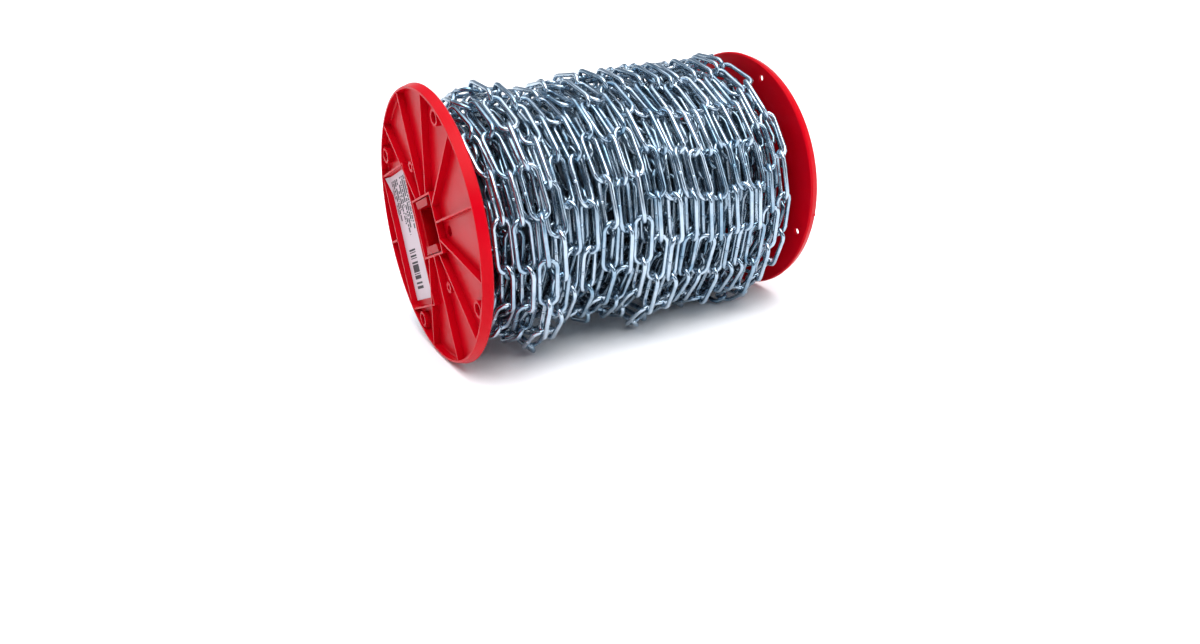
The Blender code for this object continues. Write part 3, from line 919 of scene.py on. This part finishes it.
def makeLinks(name, chosen, tree, finish, sides, corners):
    centres = linkCentres[chosen] * mm + (0, 0, reel["rimRadius"])
    mesh = bpy.data.meshes.new(name)
    mesh.from_pydata([tuple(c) for c in centres], [], [])
    tone = np.random.default_rng(11 + sides).random(len(centres))
    for label, kind, slot, values in (("linkAlong", "FLOAT_VECTOR", "vector", linkTurns[chosen][:, :, 0]),
                                      ("linkNormal", "FLOAT_VECTOR", "vector", linkTurns[chosen][:, :, 2]),
                                      ("linkTone", "FLOAT", "value", tone)):
        layer = mesh.attributes.new(label, kind, "POINT")
        layer.data.foreach_set(slot, values.astype(np.float32).ravel())
    item = bpy.data.objects.new(name, mesh)
    bpy.context.scene.collection.objects.link(item)
    maker = item.modifiers.new("links", "NODES")
    maker.node_group = tree
    maker[socketId(tree, "Wire sides")] = sides
    maker[socketId(tree, "Corner steps")] = corners
    maker[socketId(tree, "Finish")] = finish
    settle(item)
    item.data.name = name
    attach(item, "root")
    print(name, "has", len(centres), "links,", len(item.data.polygons), "faces")
    return item


chainTree = linkTree("oneLinkEverywhere")
outer = linkLayer == 0
outerLinks = makeLinks("outerTurns", outer, chainTree, zinc, 8, 3)
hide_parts("chain_winding")
makeLinks("innerTurns", ~outer, chainTree, paintedShadeZinc, 6, 2)       # plainer links, seen only in the gaps, in the zinc darkened as painted shade


# What lies deeper than the laid turns

core = {
    "radius": 39.0 * mm,
    "valley": 1.8 * mm,
    "bore": 24.6 * mm,
    "endGap": 1.0 * mm,
    "segments": 72,
    "ridges": 42,
    # painted shade: the core's zinc is darkened to near black for the shade deep in the heap
    "look": dict(zincLook, bright=(0.16, 0.2, 0.25), dull=(0.05, 0.07, 0.09), roughness=0.4),
}


def makeCore():
    length = innerFace * mm - core["endGap"]
    points, faces = [], []
    rings = core["ridges"] * 2
    for ring in range(rings + 1):
        x = -length + 2 * length * ring / rings
        radius = core["radius"] - (core["valley"] if ring % 2 else 0)
        if ring in (0, rings):
            radius = core["bore"]
        for k in range(core["segments"]):
            y, z = polar(radius, 360 * k / core["segments"])
            points.append((x, y, z + reel["rimRadius"]))
    n = core["segments"]
    for ring in range(rings):
        for k in range(n):
            j = (k + 1) % n
            faces.append((ring * n + k, ring * n + j, (ring + 1) * n + j, (ring + 1) * n + k))
    for k in range(n):             # the bore side
        j = (k + 1) % n
        faces.append((rings * n + k, rings * n + j, j, k))
    item = meshObject("deepTurns", points, faces)
    item.data.shade_smooth()
    item.data.materials.append(makeZinc("deepPaintedShadeZinc", core["look"]))
    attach(item, "root")
    return item


makeCore()
print("deep turns made")


# Studio and camera

studio = {
    "floor": 60.0,
    "floorTint": (0.93, 0.93, 0.94),
    "sun": 2.85,
    "sunFrom": (-0.08, -0.45, 1.0),
    "sunSpread": math.radians(55),
    "wall": (0.03, 0.05, 0.09),    # the dark side of the room, in front of the reel
    "back": (0.3, 0.34, 0.4),
    "ceiling": (2.0, 2.03, 2.1),
    "skyStrength": 1.05,
    "frontAt": (0.7, -1.0, 0.6),
    "frontSize": (0.35, 0.5),
    "frontPower": 3,
    "lens": 27.795,
    "cameraAt": (-0.268198, -0.497345, 0.242737),
    "azimuth": -36.157,
    "elevation": 18.219,
    "shift": (-0.10284, -0.07957),
}


def makeFloor():
    half = studio["floor"] / 2
    corners = [(-half, -half, 0), (half, -half, 0), (half, half, 0), (-half, half, 0)]
    item = meshObject("floor", corners, [(0, 1, 2, 3)])
    if item.data.polygons[0].normal.z < 0:
        item.data.flip_normals()
    item.location.z = -0.2 * mm    # just clear of the rims
    material, _, _, shader = newMaterial("paleFloor")
    shader.inputs["Base Color"].default_value = (*studio["floorTint"], 1)
    shader.inputs["Roughness"].default_value = 0.9
    shader.inputs["Specular IOR Level"].default_value = 0.0
    item.data.materials.append(material)


def aim(item, place, target):
    item.location = place
    item.rotation_mode = "QUATERNION"
    item.rotation_quaternion = (Vector(place) - Vector(target)).to_track_quat("Z", "Y")
    bpy.context.scene.collection.objects.link(item)


def makeSun():
    data = bpy.data.lights.new("wideSun", "SUN")
    data.energy = studio["sun"]
    data.angle = studio["sunSpread"]
    aim(bpy.data.objects.new("wideSun", data), studio["sunFrom"], (0, 0, 0))


def makeFrontLight():
    data = bpy.data.lights.new("frontSoft", "AREA")
    data.shape = "RECTANGLE"
    data.size, data.size_y = studio["frontSize"]
    data.energy = studio["frontPower"]
    aim(bpy.data.objects.new("frontSoft", data), studio["frontAt"], (0, 0, reel["rimRadius"]))


def makeSky():                     # dark walls, darkest in front, white along the floor, under a bright ceiling
    world = bpy.data.worlds.new("studio")
    bpy.context.scene.world = world
    world.use_nodes = True
    nodes, links = world.node_tree.nodes, world.node_tree.links
    place = nodes.new("ShaderNodeTexCoord")
    split = nodes.new("ShaderNodeSeparateXYZ")
    links.new(place.outputs["Generated"], split.inputs["Vector"])

    def fade(output, low, high, first, second):
        ramp = nodes.new("ShaderNodeValToRGB")
        ramp.color_ramp.elements[0].position = low
        ramp.color_ramp.elements[1].position = high
        ramp.color_ramp.elements[0].color = (*first, 1)
        ramp.color_ramp.elements[1].color = (*second, 1)
        links.new(output, ramp.inputs["Fac"])
        return ramp.outputs["Color"]

    def blend(share, first, second):
        mix = addNode(nodes, "ShaderNodeMix", data_type="RGBA")
        links.new(share, mix.inputs["Factor"])
        links.new(first, mix.inputs["A"])
        mix.inputs["B"].default_value = (*second, 1)
        return mix.outputs["Result"]

    behind = addNode(nodes, "ShaderNodeMath", operation="MULTIPLY_ADD")     # 0 in front, 1 behind
    behind.inputs[1].default_value = 0.5
    behind.inputs[2].default_value = 0.5
    links.new(split.outputs["Y"], behind.inputs[0])
    wall = fade(behind.outputs[0], 0.3, 0.75, studio["wall"], studio["back"])
    low = addNode(nodes, "ShaderNodeMath", operation="MULTIPLY")
    links.new(fade(split.outputs["Z"], 0.16, 0.34, (1, 1, 1), (0, 0, 0)), low.inputs[0])
    links.new(fade(behind.outputs[0], 0.03, 0.2, (0.3, 0.3, 0.3), (1, 1, 1)), low.inputs[1])
    ceiling = fade(split.outputs["Z"], 0.7, 0.86, (0, 0, 0), (1, 1, 1))
    sky = blend(ceiling, blend(low.outputs[0], wall, (1, 1, 1)), studio["ceiling"])
    links.new(sky, nodes["Background"].inputs["Color"])
    nodes["Background"].inputs["Strength"].default_value = studio["skyStrength"]


makeFloor()
makeSun()
makeSky()
makeFrontLight()
bpy.context.scene.view_settings.view_transform = "Standard"


def makeCamera():
    data = bpy.data.cameras.new("camera")
    data.sensor_width = 36.0
    data.lens = studio["lens"]
    data.shift_x, data.shift_y = studio["shift"]
    data.clip_start, data.clip_end = 0.01, 50
    az, el = math.radians(studio["azimuth"]), math.radians(studio["elevation"])
    back = Vector((math.sin(az) * math.cos(el), -math.cos(az) * math.cos(el), math.sin(el)))
    right = Vector((math.cos(az), math.sin(az), 0))
    turn = Matrix((right, back.cross(right), back)).transposed()
    item = bpy.data.objects.new("camera", data)
    item.matrix_world = Matrix.Translation(studio["cameraAt"]) @ turn.to_4x4()
    bpy.context.scene.collection.objects.link(item)
    bpy.context.scene.camera = item


makeCamera()
print("studio made")
